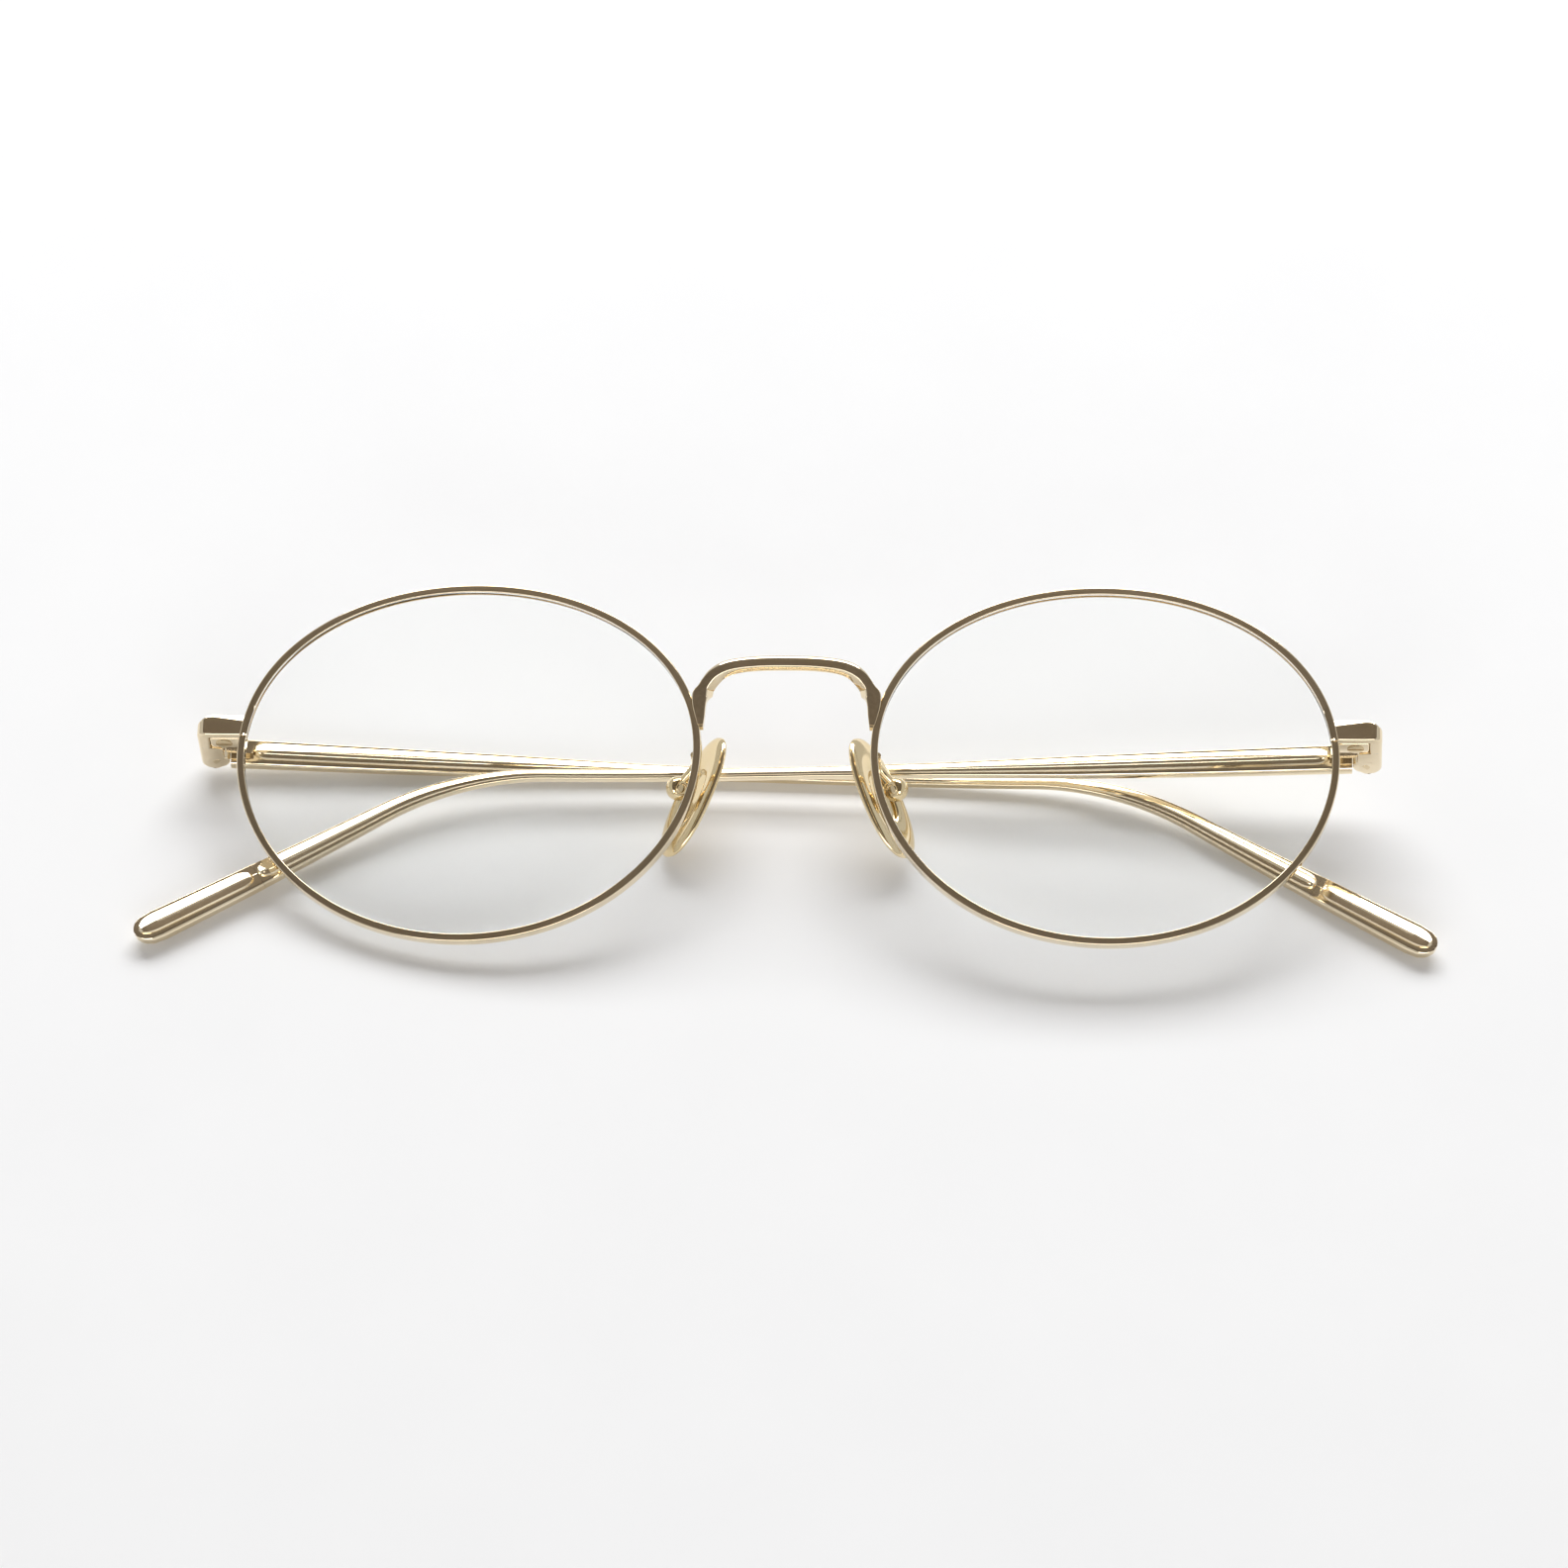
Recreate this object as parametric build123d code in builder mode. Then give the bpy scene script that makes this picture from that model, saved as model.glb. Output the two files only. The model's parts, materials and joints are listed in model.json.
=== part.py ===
from build123d import *
import os
from math import atan, copysign, cos, pi, radians, sin, tan

# Eyeglasses with a thin oval metal frame, lying folded on a flat surface.
# Every piece is made in the frame front's own axes (X to the wearer's left, Y up as worn,
# Z out of the front, origin midway between the lens centres), for the +X side.
# The -X side is its mirror image, and the finished pieces are then laid down at rest.

# Front
LENS_SPACING = 72.0        # between the two lens centres: 52 lens + 20 bridge
RIM_HALF_WIDTH = 25.9      # to the middle of the rim wire
RIM_HALF_HEIGHT = 20.8
RIM_WIDTH = 0.85           # across the wire, seen from the front
RIM_DEPTH = 1.5            # front to back
BASE_RADIUS = 132.0        # of the curve that the lenses follow
WRAP = 3.0                 # degrees that each lens turns back at its outer side
TOP_FULLNESS = 0.065       # how much wider the oval is above its middle
SQUARENESS = 0.009         # how much the oval bulges between its axes
OVAL_POINTS = 32
LENS_THICKNESS = 1.2
TONGUE_THICKNESS = 0.6     # the lens edge that sits in the rim's groove
FIT_GAP = 0.02

# End piece, measured from the middle of its front face along the leg's direction
END_Y = 5.3
END_Z = -3.8
PANTOSCOPIC = 8.0          # degrees that the leg points down from straight back
END_OUTER_X = 67.0
END_INNER_X = 62.0
END_PLATE = 0.9            # thickness of the front plate
END_WALL_X = 65.6          # inside of the outer wall, beside the rim lock
LEG_INNER_X = 64.25
LEG_START = 3.25
LEG_END = 7.67
FRONT_HALF_HEIGHT = 1.3
LEG_HALF_HEIGHT = 1.62
END_CORNER = 1.0

# Rim lock
RIM_GAP = 0.2
RIM_GAP_HEIGHT = -1.5      # the saw cut, under the end piece
RIM_CUT_X = (60.0, 64.0)
RIM_CUT_DEPTH = (-3.0, 3.0)
LOCK_X = (61.8, 65.6)
LOCK_DEPTH = (0.9, 3.2)
LOWER_BLOCK = (-1.35, -0.25)
UPPER_BLOCK = (-0.15, 1.0)
LOWER_FOOT = ((61.5, 62.7), (0.7, 1.8), (-2.5, -1.35))   # ties the lower block to the rim under the cut
RIM_SCREW_X = 64.35
RIM_SCREW_DEPTH = 2.05
RIM_SCREW_HEAD = (0.95, 0.45)   # radius, thickness
RIM_SCREW_SHANK = 0.5
RIM_SCREW_END = 0.8

# Hinge
HINGE_X = 65.1
HINGE_DEPTH = 6.3
KNUCKLE_RADIUS = 1.37
KNUCKLE_INSET = 0.1        # lower than the leg at each end
TONGUE_HALF = 0.6
TONGUE_RADIUS = 1.1
TONGUE_NECK = (4.0, 1.6, 0.15)   # length, thickness, outwards of the hinge axis
SLOT_CLEARANCE = 0.05
SLOT_OUTER_X = 66.35
BUTT = 1.42                # from the hinge axis to the temple's end face
SPLAY = 3.0                # degrees that an open temple points outwards at the hinge
HINGE_SCREW_SHANK = 0.6
HINGE_SCREW_HEAD = (0.95, 0.45)
HINGE_SCREW_REACH = 1.54   # to each side of the hinge's middle
RUNNING_GAP = 0.04

# Temple: distances are along it from the hinge axis
TEMPLE_LENGTH = 144.2
TEMPLE_OFFSET = 0.7        # its middle, outwards of the hinge axis
DROOP_RIGHT = 1.69         # degrees that each temple falls below the hinge plane
DROOP_LEFT = 0.79
BEND_AT = 102.56           # corner of the ear bend
BEND_ANGLE = 31.87
BEND_RADIUS = 34.5
BOW_CURVE = 0.00029        # inward curve along the whole temple
EAR_RADIUS = 423.0         # further inward curve behind the ear
EAR_START = 75.0
STATION_SPACING = 5.0      # between the points that shape a temple
TIP_START = 128.2
TANG_LENGTH = 9.0
TANG_HALF_HEIGHT = 0.7
TANG_HALF_THICKNESS = 0.35
# station along the temple, half height, half thickness
TEMPLE_SECTIONS = ((1.0, 1.6, 0.95), (20.0, 1.45, 0.85), (33.0, 1.25, 0.75), (48.0, 0.8, 0.65),
                   (62.0, 0.6, 0.65), (95.0, 0.6, 0.65), (110.0, 0.95, 0.7), (129.2, 1.5, 0.95))
TIP_SECTIONS = ((TIP_START, 1.5, 0.95), (141.5, 1.75, 1.05), (143.2, 1.5, 0.9),
                (TEMPLE_LENGTH, 0.8, 0.5))
FOLD_RIGHT = 0.0303        # slope away from the front of each folded temple
FOLD_LEFT = 0.0748

# Nose pads, on the +X side
PAD_CENTRE = Vector(10.6, -2.0, -7.0)
PAD_ACROSS = Vector(-0.538, -0.346, 0.769)    # also the pad screw's direction
PAD_OUT = Vector(0.744, 0.233, 0.625)       # from the pad towards the lens
PAD_LENGTH = 15.0
PAD_WIDTH = 7.4
PAD_THICKNESS = 1.1
PAD_EDGE = 0.9
PAD_DISH = 0.45
PAD_AXIS_RISE = 2.5        # from the pad's middle to its screw
PAD_BOX_RADIUS = 1.25
PAD_LUG_HALF = 0.4
PAD_LUG_RADIUS = 0.7
PAD_SCREW_RADIUS = 0.3
PAD_SCREW_HEAD = (0.55, 0.25)
ARM_RADIUS = 0.45
ARM_START = (10.15, 0.9, -1.5)
ARM_TURN = (10.4, 0.8, -4.3)

# Bridge
BRIDGE_RADIUS = 0.72
BRIDGE_BAR_Y = 11.8
BRIDGE_BAR_Z = 0.8
BRIDGE_CORNER_X = 9.3
BRIDGE_CORNER_RADIUS = 2.8
FOOT_TOP = (9.95, 8.0, -1.15)
FOOT_TIP = (9.7, 4.2)
FOOT_HALF_WIDTH = 0.8
FOOT_THICKNESS = 1.3
FOOT_POINT = 1.2           # the foot's pointed top above its widest place

# Resting place: the folded glasses lie on both temple tips and the middle of one temple
REST_TILT = 21.4           # degrees that the front's face leans back from facing up
REST_ROLL = 2.12           # degrees that the +X side is raised


down = sin(radians(PANTOSCOPIC))
along = cos(radians(PANTOSCOPIC))
leg_direction = Vector(0, -down, -along)
hinge_direction = Vector(0, along, -down)
end_origin = Vector(0, END_Y, END_Z)
end_plan = Plane(origin=end_origin, x_dir=(1, 0, 0), z_dir=hinge_direction)
end_side = Plane(origin=end_origin, x_dir=leg_direction, z_dir=(1, 0, 0))
lens_plane = Plane(
    origin=(LENS_SPACING / 2, 0, 0),
    x_dir=(cos(radians(WRAP)), 0, -sin(radians(WRAP))),
    z_dir=(sin(radians(WRAP)), 0, cos(radians(WRAP))),
)
sphere_centre = lens_plane.offset(-BASE_RADIUS)
pad_plane = Plane(origin=PAD_CENTRE, x_dir=PAD_ACROSS, z_dir=PAD_OUT)
pad_axis_point = PAD_CENTRE + PAD_OUT * PAD_AXIS_RISE
pad_axis_plane = Plane(origin=pad_axis_point, x_dir=PAD_OUT, z_dir=PAD_ACROSS)


def oval(grow):
    """The rim's outline, grown by a distance: an oval a little fuller above its middle."""
    half_width = RIM_HALF_WIDTH + grow
    half_height = RIM_HALF_HEIGHT + grow
    points = []
    for step in range(OVAL_POINTS):
        angle = 2 * pi * step / OVAL_POINTS
        reach = 1 + SQUARENESS * sin(2 * angle) ** 2
        across = half_width * cos(angle) * reach * (1 + TOP_FULLNESS * sin(angle))
        points.append((across, half_height * sin(angle) * reach))
    return points


def oval_slab(grow, thickness, hole_grow=None):
    """A slab with the oval's outline that follows the lens curve, with or without a hole."""
    with BuildPart() as slab:
        with BuildSketch(lens_plane.offset(-BASE_RADIUS / 10)):
            with BuildLine():
                Spline(*oval(grow), periodic=True)
            make_face()
            if hole_grow is not None:
                with BuildLine():
                    Spline(*oval(hole_grow), periodic=True)
                make_face(mode=Mode.SUBTRACT)
        extrude(amount=BASE_RADIUS / 5)
        with Locations(sphere_centre):
            Sphere(BASE_RADIUS + thickness / 2, rotation=(90, 0, 0), mode=Mode.INTERSECT)
            Sphere(BASE_RADIUS - thickness / 2, rotation=(90, 0, 0), mode=Mode.SUBTRACT)
    return slab.part


def end_box(x_range, depth_range, height_range):
    """A box given by its ranges across, back along the leg, and up the hinge axis."""
    with BuildPart() as box:
        with BuildSketch(end_plan.offset(height_range[0])):
            with Locations(((x_range[0] + x_range[1]) / 2, (depth_range[0] + depth_range[1]) / 2)):
                Rectangle(x_range[1] - x_range[0], depth_range[1] - depth_range[0])
        extrude(amount=height_range[1] - height_range[0])
    return box.part


def end_pin(x, depth, radius, low, high):
    """A round pin along the hinge direction."""
    with BuildPart() as pin:
        with BuildSketch(end_plan.offset(low)):
            with Locations((x, depth)):
                Circle(radius)
        extrude(amount=high - low)
    return pin.part


def screw_shape(x, depth, shank, head, low, high, head_down, grow=0.0):
    """A headed screw along the hinge direction, grown when it is used to cut its own hole."""
    radius, thickness = head
    if head_down:
        head_low, head_high = low - grow, low + thickness + grow
    else:
        head_low, head_high = high - thickness - grow, high + grow
    with BuildPart() as screw:
        add(end_pin(x, depth, shank + grow, low - grow, high + grow))
        add(end_pin(x, depth, radius + grow, head_low, head_high))
    return screw.part


# ---------------------------------------------------------------- front pieces, +X side
rim_space = oval_slab(RIM_WIDTH / 2, RIM_DEPTH)
with BuildPart() as lens:
    add(oval_slab(-RIM_WIDTH / 2 - FIT_GAP, LENS_THICKNESS))
    add(oval_slab(-FIT_GAP, TONGUE_THICKNESS))

with BuildPart() as rim:
    add(oval_slab(RIM_WIDTH / 2, RIM_DEPTH, -RIM_WIDTH / 2))
    add(oval_slab(0, TONGUE_THICKNESS + 2 * FIT_GAP), mode=Mode.SUBTRACT)
    cut_heights = (RIM_GAP_HEIGHT - RIM_GAP / 2, RIM_GAP_HEIGHT + RIM_GAP / 2)
    add(end_box(RIM_CUT_X, RIM_CUT_DEPTH, cut_heights), mode=Mode.SUBTRACT)

rim_screw_shape = dict(x=RIM_SCREW_X, depth=RIM_SCREW_DEPTH, shank=RIM_SCREW_SHANK,
                       head=RIM_SCREW_HEAD, low=LOWER_BLOCK[0], high=RIM_SCREW_END,
                       head_down=True)
with BuildPart() as rim_screw:
    add(screw_shape(**rim_screw_shape))

with BuildPart() as rim_block_lower:
    add(end_box(LOCK_X, LOCK_DEPTH, LOWER_BLOCK))
    add(end_box(*LOWER_FOOT))
    add(screw_shape(grow=FIT_GAP, **rim_screw_shape), mode=Mode.SUBTRACT)
    add(rim.part, mode=Mode.SUBTRACT)

with BuildPart() as rim_block_upper:
    add(end_box(LOCK_X, LOCK_DEPTH, UPPER_BLOCK))
    add(screw_shape(grow=FIT_GAP, **rim_screw_shape), mode=Mode.SUBTRACT)
    add(rim.part, mode=Mode.SUBTRACT)

hinge_screw_shape = dict(x=HINGE_X, depth=HINGE_DEPTH, shank=HINGE_SCREW_SHANK,
                         head=HINGE_SCREW_HEAD, low=-HINGE_SCREW_REACH,
                         high=HINGE_SCREW_REACH, head_down=False)
with BuildPart() as hinge_screw:
    add(screw_shape(**hinge_screw_shape))

with BuildPart() as end_piece:
    with BuildSketch(end_plan.offset(-5)) as end_outline:
        with BuildLine():
            Polyline(
                (END_INNER_X - 1, 0), (END_OUTER_X, 0), (END_OUTER_X, LEG_END),
                (LEG_INNER_X, LEG_END), (LEG_INNER_X, LEG_START), (END_WALL_X, LEG_START),
                (END_WALL_X, END_PLATE), (END_INNER_X - 1, END_PLATE), close=True,
            )
        make_face()
        outer_corner = end_outline.vertices().group_by(Axis.X)[-1]
        fillet(outer_corner, radius=END_CORNER)
    extrude(amount=10)
    with BuildSketch(end_side.offset(END_INNER_X - 2)):
        with BuildLine():
            Polyline(
                (-1, -FRONT_HALF_HEIGHT), (LEG_END + 1, -LEG_HALF_HEIGHT),
                (LEG_END + 1, LEG_HALF_HEIGHT), (-1, FRONT_HALF_HEIGHT), close=True,
            )
        make_face()
    extrude(amount=10, mode=Mode.INTERSECT)
    # rear inner corner, rounded about the hinge axis so that the temple's end clears it
    with BuildSketch(end_plan.offset(-5)):
        with Locations(((LEG_INNER_X + HINGE_X) / 2 - 0.5, (HINGE_DEPTH + LEG_END) / 2 + 0.5)):
            Rectangle(HINGE_X - LEG_INNER_X + 1, LEG_END - HINGE_DEPTH + 1)
        with Locations((HINGE_X, HINGE_DEPTH)):
            Circle(KNUCKLE_RADIUS, mode=Mode.SUBTRACT)
    extrude(amount=10, mode=Mode.SUBTRACT)
    # round knuckle, so that the folded temple's end stands close to it
    knuckle_half = LEG_HALF_HEIGHT - KNUCKLE_INSET
    add(end_pin(HINGE_X, HINGE_DEPTH, KNUCKLE_RADIUS, -knuckle_half, knuckle_half))
    # slot for the temple's tongue
    slot_heights = (-TONGUE_HALF - SLOT_CLEARANCE, TONGUE_HALF + SLOT_CLEARANCE)
    slot_radius = TONGUE_RADIUS + SLOT_CLEARANCE
    add(end_pin(HINGE_X, HINGE_DEPTH, slot_radius, *slot_heights), mode=Mode.SUBTRACT)
    slot_depths = (HINGE_DEPTH - slot_radius, LEG_END + 1)
    slot_across = (HINGE_X - KNUCKLE_RADIUS - 1, HINGE_X)
    add(end_box(slot_across, slot_depths, slot_heights), mode=Mode.SUBTRACT)
    slot_depths = (HINGE_DEPTH, LEG_END + 1)
    add(end_box((HINGE_X, SLOT_OUTER_X), slot_depths, slot_heights), mode=Mode.SUBTRACT)
    add(screw_shape(grow=FIT_GAP, **hinge_screw_shape), mode=Mode.SUBTRACT)
    add(rim_space, mode=Mode.SUBTRACT)

# ---------------------------------------------------------------- bridge
with BuildPart() as bridge:
    with BuildLine() as bridge_path:
        FilletPolyline(
            (FOOT_TOP[0], FOOT_TOP[1] - 1.5, FOOT_TOP[2]),
            (BRIDGE_CORNER_X, BRIDGE_BAR_Y, BRIDGE_BAR_Z),
            (-BRIDGE_CORNER_X, BRIDGE_BAR_Y, BRIDGE_BAR_Z),
            (-FOOT_TOP[0], FOOT_TOP[1] - 1.5, FOOT_TOP[2]),
            radius=BRIDGE_CORNER_RADIUS,
        )
    with BuildSketch(Plane(origin=bridge_path.line @ 0, z_dir=bridge_path.line % 0)):
        Circle(BRIDGE_RADIUS)
    sweep()
    for side in (1, -1):
        with BuildSketch(Plane.XY.offset(FOOT_TOP[2] - FOOT_THICKNESS / 2)):
            with BuildLine():
                tip = (side * FOOT_TIP[0], FOOT_TIP[1])
                inner = (side * (FOOT_TOP[0] - FOOT_HALF_WIDTH), FOOT_TOP[1])
                outer = (side * (FOOT_TOP[0] + FOOT_HALF_WIDTH), FOOT_TOP[1])
                top = (side * FOOT_TOP[0], FOOT_TOP[1] + FOOT_POINT)
                Spline(tip, inner, top)
                Spline(top, outer, tip)
            make_face()
        extrude(amount=FOOT_THICKNESS)
    add(rim_space, mode=Mode.SUBTRACT)
    add(rim_space.mirror(Plane.YZ), mode=Mode.SUBTRACT)


# ---------------------------------------------------------------- nose pads, +X side
with BuildPart() as pad_screw:
    with BuildSketch(pad_axis_plane.offset(-PAD_BOX_RADIUS * 0.8)):
        Circle(PAD_SCREW_RADIUS)
    extrude(amount=PAD_BOX_RADIUS * 1.6)
    with BuildSketch(pad_axis_plane.offset(PAD_BOX_RADIUS * 0.8 - PAD_SCREW_HEAD[1])):
        Circle(PAD_SCREW_HEAD[0])
    extrude(amount=PAD_SCREW_HEAD[1])

with BuildPart() as pad_box:
    with Locations(pad_axis_plane):
        Sphere(PAD_BOX_RADIUS)
    # slot for the pad's lug, open towards the pad
    with BuildSketch(pad_axis_plane.offset(-PAD_LUG_HALF - SLOT_CLEARANCE)):
        Circle(PAD_LUG_RADIUS + 0.1)
        with Locations((-1, 0)):
            Rectangle(2, 2 * PAD_LUG_RADIUS + 0.6)
    extrude(amount=2 * (PAD_LUG_HALF + SLOT_CLEARANCE), mode=Mode.SUBTRACT)
    add(pad_screw.part, mode=Mode.SUBTRACT)

with BuildPart() as nose_pad:
    with BuildSketch(pad_plane.offset(-PAD_THICKNESS / 2)):
        Ellipse(PAD_WIDTH / 2, PAD_LENGTH / 2)
    extrude(amount=PAD_THICKNESS)
    with BuildSketch(pad_plane.offset(PAD_THICKNESS / 2 - PAD_DISH)):
        Ellipse(PAD_WIDTH / 2 - PAD_EDGE, PAD_LENGTH / 2 - PAD_EDGE)
    extrude(amount=PAD_DISH, mode=Mode.SUBTRACT)
    with BuildSketch(pad_axis_plane.offset(-PAD_LUG_HALF)):
        Circle(PAD_LUG_RADIUS)
        with Locations((-PAD_AXIS_RISE / 2, 0)):
            Rectangle(PAD_AXIS_RISE, 2 * PAD_LUG_RADIUS)
    extrude(amount=2 * PAD_LUG_HALF)
    with BuildSketch(pad_axis_plane.offset(-PAD_BOX_RADIUS)):
        Circle(PAD_SCREW_RADIUS + RUNNING_GAP)
    extrude(amount=2 * PAD_BOX_RADIUS, mode=Mode.SUBTRACT)

with BuildPart() as pad_arm:
    with BuildLine() as arm_path:
        FilletPolyline(ARM_START, ARM_TURN, pad_axis_point, radius=0.8)
    with BuildSketch(Plane(origin=arm_path.line @ 0, z_dir=arm_path.line % 0)):
        Circle(ARM_RADIUS)
    sweep()
    with Locations(pad_axis_plane):
        Sphere(PAD_BOX_RADIUS, mode=Mode.SUBTRACT)
    add(rim_space, mode=Mode.SUBTRACT)


# ---------------------------------------------------------------- temple, in its own axes
# X runs along the temple from the hinge axis, Y up, Z outwards as worn.
def along_side(distance, height, droop):
    """A point of the side view: straight, round the ear bend, and straight again."""
    angle = radians(BEND_ANGLE)
    before = BEND_AT - BEND_RADIUS * tan(angle / 2)
    turned = min(max((distance - before) / BEND_RADIUS, 0), angle)
    beyond = max(distance - before - BEND_RADIUS * angle, 0)
    x = min(distance, before) + BEND_RADIUS * sin(turned) + beyond * cos(turned)
    y = -BEND_RADIUS * (1 - cos(turned)) - beyond * sin(turned)
    x, y = x + height * sin(turned), y + height * cos(turned)
    fall = radians(droop)
    return (x * cos(fall) + y * sin(fall), y * cos(fall) - x * sin(fall))


def along_top(distance, outwards, droop):
    """A point of the top view, curving inwards towards the tip."""
    x = along_side(distance, 0, droop)[0]
    curve = BOW_CURVE * x**2 + max(x - EAR_START, 0) ** 2 / (2 * EAR_RADIUS)
    return (x, TEMPLE_OFFSET - curve + outwards)


def size_at(distance, sections, column):
    """Half height (column 1) or half thickness (column 2) at a distance along the temple."""
    for low, high in zip(sections, sections[1:]):
        if distance <= high[0]:
            share = (distance - low[0]) / (high[0] - low[0])
            return low[column] + share * (high[column] - low[column])
    return sections[-1][column]


def crossed(sections, droop):
    """The solid whose side view and top view both follow the given sections."""
    start, end = sections[0][0], sections[-1][0]
    steps = max(int((end - start) / STATION_SPACING), 3)
    stations = [start + (end - start) * step / steps for step in range(steps + 1)]
    side_view = Plane.XY.offset(-25)
    # the top view's Y is the solid's Z
    top_view = Plane(origin=(0, 20, 0), x_dir=(1, 0, 0), z_dir=(0, -1, 0))
    with BuildPart() as solid:
        for view, place, column, mode in ((side_view, along_side, 1, Mode.ADD),
                                          (top_view, along_top, 2, Mode.INTERSECT)):
            upper = []
            lower = []
            for distance in stations:
                half = size_at(distance, sections, column)
                upper.append(place(distance, half, droop))
                lower.append(place(distance, -half, droop))
            with BuildSketch(view):
                with BuildLine():
                    Spline(*upper)
                    Line(upper[-1], lower[-1])
                    Spline(*reversed(lower))
                    Line(lower[0], upper[0])
                make_face()
            extrude(amount=70, mode=mode)
    return solid.part


butt_plane = Plane(
    origin=(BUTT * cos(radians(SPLAY)), 0, -BUTT * sin(radians(SPLAY))),
    x_dir=(0, 1, 0),
    z_dir=(cos(radians(SPLAY)), 0, -sin(radians(SPLAY))),
)
with BuildPart() as hinge_tongue:
    with BuildSketch(Plane.XZ.offset(-TONGUE_HALF)):
        Circle(TONGUE_RADIUS)
        with Locations((TONGUE_NECK[0] / 2, TONGUE_NECK[2])):
            Rectangle(TONGUE_NECK[0], TONGUE_NECK[1])
    extrude(amount=2 * TONGUE_HALF)
    with BuildSketch(Plane.XZ.offset(-TONGUE_HALF)):
        Circle(HINGE_SCREW_SHANK + RUNNING_GAP)
    extrude(amount=2 * TONGUE_HALF, mode=Mode.SUBTRACT)

tang_sections = ((TIP_START - 4, TANG_HALF_HEIGHT, TANG_HALF_THICKNESS),
                 (TIP_START + TANG_LENGTH, TANG_HALF_HEIGHT, TANG_HALF_THICKNESS))


def make_temple(droop):
    """A temple with its tip: the tip is a sleeve over the temple's thin tang."""
    turn = radians(BEND_ANGLE + droop)
    tip_start = Vector(*along_side(TIP_START, 0, droop), 0)
    tip_plane = Plane(origin=tip_start, x_dir=(0, 0, 1), z_dir=(cos(turn), -sin(turn), 0))
    with BuildPart() as temple:
        add(crossed(TEMPLE_SECTIONS, droop))
        split(bisect_by=butt_plane, keep=Keep.TOP)
        split(bisect_by=tip_plane, keep=Keep.BOTTOM)
        add(crossed(tang_sections, droop))
        add(hinge_tongue.part, mode=Mode.SUBTRACT)
    with BuildPart() as temple_tip:
        add(crossed(TIP_SECTIONS, droop))
        split(bisect_by=tip_plane, keep=Keep.TOP)
        add(temple.part, mode=Mode.SUBTRACT)
    return temple.part, temple_tip.part


# ---------------------------------------------------------------- laying the pieces down
hinge_point = end_origin + leg_direction * HINGE_DEPTH + Vector(HINGE_X, 0, 0)


def folded(piece, slope):
    """A temple piece put on its hinge, folded behind the front."""
    turn = atan(slope)
    inwards = Vector(-1, 0, 0)
    x_dir = inwards * cos(turn) + leg_direction * sin(turn)
    z_dir = leg_direction * cos(turn) - inwards * sin(turn)
    return piece.moved(Plane(origin=hinge_point, x_dir=x_dir, z_dir=z_dir).location)


pairs = {
    "rim": rim.part, "lens": lens.part, "end_piece": end_piece.part,
    "rim_block_upper": rim_block_upper.part, "rim_block_lower": rim_block_lower.part,
    "rim_screw": rim_screw.part, "hinge_screw": hinge_screw.part, "pad_arm": pad_arm.part,
    "pad_box": pad_box.part, "pad_screw": pad_screw.part, "nose_pad": nose_pad.part,
}
finished = {"bridge": bridge.part}
for name, shape in pairs.items():
    finished[f"{name}_right"] = shape
    finished[f"{name}_left"] = shape.mirror(Plane.YZ)
for side, slope, droop in (("right", FOLD_RIGHT, DROOP_RIGHT), ("left", FOLD_LEFT, DROOP_LEFT)):
    temple, temple_tip = make_temple(droop)
    side_pieces = {"temple": temple, "temple_tip": temple_tip, "hinge_tongue": hinge_tongue.part}
    for name, shape in side_pieces.items():
        shape = folded(shape, slope)
        finished[f"{name}_{side}"] = shape if side == "right" else shape.mirror(Plane.YZ)

tilt = Rot(0, -REST_ROLL, 0) * Rot(REST_TILT, 0, 0)
box = Compound([shape.moved(tilt) for shape in finished.values()]).bounding_box()
at_rest = Pos(-box.center().X, -box.center().Y, -box.min.Z) * tilt

os.makedirs("parts", exist_ok=True)
for name, shape in finished.items():
    laid = shape.moved(at_rest)
    laid.label = name
    export_step(laid, f"parts/{name}.step")

def report(label, side, point, direction):
    """Print a place and a direction of the resting part, for its record."""
    start = (at_rest * Pos(point)).position
    end = (at_rest * Pos(point + direction)).position
    print(label, side, "at", start, "axis", end - start)


print("box", box.size)
for side in (1, -1):
    for label, point, direction in (("hinge", hinge_point, hinge_direction),
                                    ("pad", pad_axis_point, PAD_ACROSS)):
        report(label, side, Vector(side * point.X, point.Y, point.Z),
               Vector(side * direction.X, direction.Y, direction.Z))
report("nose", 1, Vector(0, PAD_CENTRE.Y, PAD_CENTRE.Z), Vector(0, 0, -1))
for side in ("right", "left"):
    tip = finished[f"temple_tip_{side}"].center()
    inside = finished[f"temple_{side}"].center()
    report("tip", side, tip, (tip - inside).normalized())
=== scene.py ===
import json
import math

import bpy
from mathutils import Matrix, Vector


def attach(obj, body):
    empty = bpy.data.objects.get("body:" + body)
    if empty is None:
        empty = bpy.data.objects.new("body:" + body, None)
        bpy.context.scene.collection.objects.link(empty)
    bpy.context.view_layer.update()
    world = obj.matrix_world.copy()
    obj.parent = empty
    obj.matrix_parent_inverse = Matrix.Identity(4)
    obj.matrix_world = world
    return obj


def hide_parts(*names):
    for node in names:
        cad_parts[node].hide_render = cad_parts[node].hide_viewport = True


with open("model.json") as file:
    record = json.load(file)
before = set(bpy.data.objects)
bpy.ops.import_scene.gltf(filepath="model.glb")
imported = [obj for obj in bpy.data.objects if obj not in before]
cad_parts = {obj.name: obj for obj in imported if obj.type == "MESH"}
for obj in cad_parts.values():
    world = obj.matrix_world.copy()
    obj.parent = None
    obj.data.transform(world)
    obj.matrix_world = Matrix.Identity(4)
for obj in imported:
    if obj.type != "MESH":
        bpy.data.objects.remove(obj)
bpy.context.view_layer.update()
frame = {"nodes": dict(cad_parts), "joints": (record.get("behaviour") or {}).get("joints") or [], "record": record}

MM = 0.001

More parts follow.
